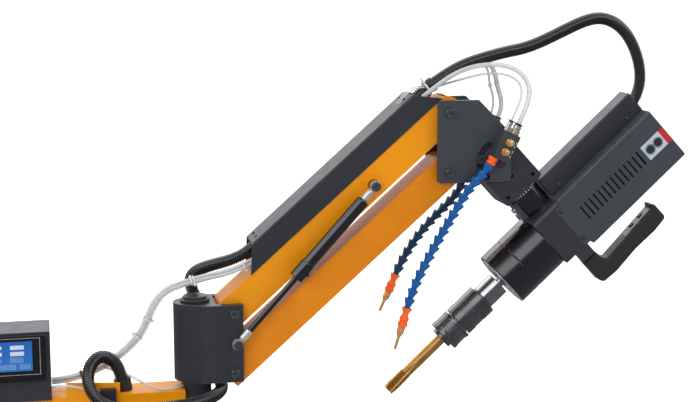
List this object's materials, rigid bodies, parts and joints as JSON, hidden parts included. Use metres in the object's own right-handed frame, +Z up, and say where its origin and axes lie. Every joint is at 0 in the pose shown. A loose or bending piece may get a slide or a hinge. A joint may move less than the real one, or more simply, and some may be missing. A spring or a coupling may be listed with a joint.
{
  "type": "arm tapping machine",
  "caption": "Articulated tapping arm: column, swivelling first arm, gas sprung parallelogram arm, and a tilting, swivelling servo head with chuck, tap and handle.",
  "frame": {"origin": "on the column's axis at the underside of the base plate", "axes": "+Z up along the column, +X along the first arm towards the head at rest, +Y to the side away from the screen"},
  "size_m": [1.2376, 0.18, 0.884],
  "materials": {
    "orange_paint": "satin orange paint",
    "black_paint": "fine black powder coat",
    "black_anodised": "black anodised aluminium",
    "steel": "zinc plated steel",
    "chrome": "polished",
    "brass": "turned brass",
    "gold_steel": "hard gold coloured coating",
    "grey_aluminium": "dark grey anodised",
    "black_plastic": "moulded",
    "conduit_plastic": "corrugated conduit",
    "clear_tube": "clear flexible tube",
    "blue_plastic": "moulded blue",
    "orange_plastic": "moulded orange",
    "screen_glass": "lit display glass",
    "green_plastic": "moulded green",
    "red_plastic": "moulded red"
  },
  "bodies": {
    "base": {"base_plate": "black_paint", "column_post": "black_paint"},
    "first_arm": {"column_bearings": "steel", "first_arm_beam": "orange_paint", "elbow_hub": "black_paint", "elbow_shaft": "steel", "elbow_cap": "black_paint", "cable_tab": "orange_paint", "cable_entries": "black_plastic", "control_box_base": "black_paint", "control_box_cover": "black_paint", "screen_bezel": "black_plastic", "touch_screen": "screen_glass", "elbow_conduit_lower": "conduit_plastic", "elbow_tubes_lower": "clear_tube"},
    "power_switch": {"power_switch": "black_plastic"},
    "elbow": {"elbow_block": "black_anodised", "elbow_bearings": "steel", "elbow_pins": "black_paint", "elbow_conduit_upper": "conduit_plastic", "elbow_tubes_upper": "clear_tube"},
    "upper_arm": {"upper_arm": "orange_paint", "cable_cover": "black_paint", "head_conduit_a": "conduit_plastic"},
    "lower_arm": {"lower_arm": "orange_paint"},
    "gas_rod": {"spring_rod": "chrome"},
    "gas_cylinder": {"spring_cylinder": "black_paint"},
    "head_bracket": {"bracket_plates": "black_anodised", "head_pins": "black_paint", "valve_blocks": "black_anodised", "tube_fittings": "brass", "front_coolant_hose": "blue_plastic", "rear_coolant_hose": "blue_plastic", "hose_ends": "orange_plastic", "nozzle_tips": "brass", "head_conduit_b": "conduit_plastic", "head_tubes": "clear_tube"},
    "valve_knob_1": {"valve_knob_1": "brass"},
    "valve_knob_2": {"valve_knob_2": "brass"},
    "valve_knob_3": {"valve_knob_3": "brass"},
    "valve_knob_4": {"valve_knob_4": "brass"},
    "tilt": {"tilt_block": "black_anodised", "tilt_bolts": "black_paint", "head_conduit_c": "conduit_plastic"},
    "head": {"graduated_ring": "grey_aluminium", "swivel_hub": "black_anodised", "gear_block": "black_anodised", "motor_cover": "black_paint", "servo_motor": "black_paint", "cable_box": "black_paint", "gearbox_housing": "black_anodised", "handle_bracket": "black_anodised", "handle_grip": "black_plastic", "button_plate": "steel"},
    "start_button": {"start_button": "green_plastic"},
    "reverse_button": {"reverse_button": "red_plastic"},
    "spindle": {"spindle_nose": "chrome", "chuck_body": "black_anodised", "tap": "gold_steel"},
    "chuck_sleeve": {"chuck_sleeve": "black_anodised"}
  },
  "joints": [
    {"name": "column_swivel", "type": "hinge", "parent": "base", "child": "first_arm", "pos_m": [0, 0, 0.2], "axis": [0, 0, 1], "range_deg": [-150, 150]},
    {"name": "elbow_swivel", "type": "hinge", "parent": "first_arm", "child": "elbow", "pos_m": [0.31, 0, 0.35], "axis": [0, 0, 1], "range_deg": [-100, 100], "deforming": ["elbow_conduit_lower", "elbow_tubes_lower"]},
    {"name": "arm_lift", "type": "hinge", "parent": "elbow", "child": "upper_arm", "pos_m": [0.37, 0, 0.401], "axis": [0, -1, 0], "range_deg": [-48, 15], "deforming": ["elbow_conduit_upper", "elbow_tubes_upper"]},
    {"name": "lower_arm_turn", "type": "hinge", "parent": "elbow", "child": "lower_arm", "pos_m": [0.37, 0, 0.301], "axis": [0, -1, 0], "range_deg": [-48, 15]},
    {"name": "bracket_level", "type": "hinge", "parent": "upper_arm", "child": "head_bracket", "pos_m": [0.7325, 0, 0.72171], "axis": [0, -1, 0], "range_deg": [-15, 48], "deforming": ["head_conduit_a", "head_tubes"]},
    {"name": "gas_rod_turn", "type": "hinge", "parent": "elbow", "child": "gas_rod", "pos_m": [0.3737, -0.052, 0.3518], "axis": [0, -1, 0], "range_deg": [-46, 15]},
    {"name": "gas_cylinder_slide", "type": "slide", "parent": "gas_rod", "child": "gas_cylinder", "axis": [0.671, 0, 0.7415], "range_m": [-0.036, 0.012]},
    {"name": "tilt", "type": "hinge", "parent": "head_bracket", "child": "tilt", "pos_m": [0.81849, 0, 0.63861], "axis": [0, -1, 0], "range_deg": [-20, 47], "deforming": ["head_conduit_b"]},
    {"name": "head_swivel", "type": "hinge", "parent": "tilt", "child": "head", "pos_m": [0.81849, 0, 0.63861], "axis": [0.6782, 0, -0.7349], "range_deg": [-90, 90], "deforming": ["head_conduit_c"]},
    {"name": "spindle_spin", "type": "hinge", "parent": "head", "child": "spindle", "pos_m": [0.9331, 0, 0.51441], "axis": [0.7349, 0, 0.6782], "continuous": true},
    {"name": "sleeve_slide", "type": "slide", "parent": "spindle", "child": "chuck_sleeve", "axis": [0.7349, 0, 0.6782], "range_m": [0, 0.008], "stiffness_N_per_m": 2500},
    {"name": "start_press", "type": "slide", "parent": "head", "child": "start_button", "axis": [0.6782, 0, -0.7349], "range_m": [0, 0.002], "stiffness_N_per_m": 900},
    {"name": "reverse_press", "type": "slide", "parent": "head", "child": "reverse_button", "axis": [0.6782, 0, -0.7349], "range_m": [0, 0.002], "stiffness_N_per_m": 900},
    {"name": "knob_turn_1", "type": "hinge", "parent": "head_bracket", "child": "valve_knob_1", "pos_m": [0.82465, -0.076, 0.67426], "axis": [0, -1, 0], "range_deg": [0, 90]},
    {"name": "knob_turn_2", "type": "hinge", "parent": "head_bracket", "child": "valve_knob_2", "pos_m": [0.8173, -0.076, 0.65892], "axis": [0, -1, 0], "range_deg": [0, 90]},
    {"name": "knob_turn_3", "type": "hinge", "parent": "head_bracket", "child": "valve_knob_3", "pos_m": [0.82465, 0.076, 0.67426], "axis": [0, 1, 0], "range_deg": [0, 90]},
    {"name": "knob_turn_4", "type": "hinge", "parent": "head_bracket", "child": "valve_knob_4", "pos_m": [0.8173, 0.076, 0.65892], "axis": [0, 1, 0], "range_deg": [0, 90]},
    {"name": "switch_rock", "type": "hinge", "parent": "first_arm", "child": "power_switch", "pos_m": [0.038, 0.0355, 0.3185], "axis": [0, 0, 1], "range_deg": [-7, 7]}
  ],
  "couplings": [
    {"joint": "lower_arm_turn", "follows": "arm_lift", "ratio": 1},
    {"joint": "bracket_level", "follows": "arm_lift", "ratio": -1},
    {"joint": "gas_rod_turn", "follows": "arm_lift", "ratio": 0.935},
    {"joint": "gas_cylinder_slide", "follows": "arm_lift", "m_per_rad": 0.0415}
  ]
}
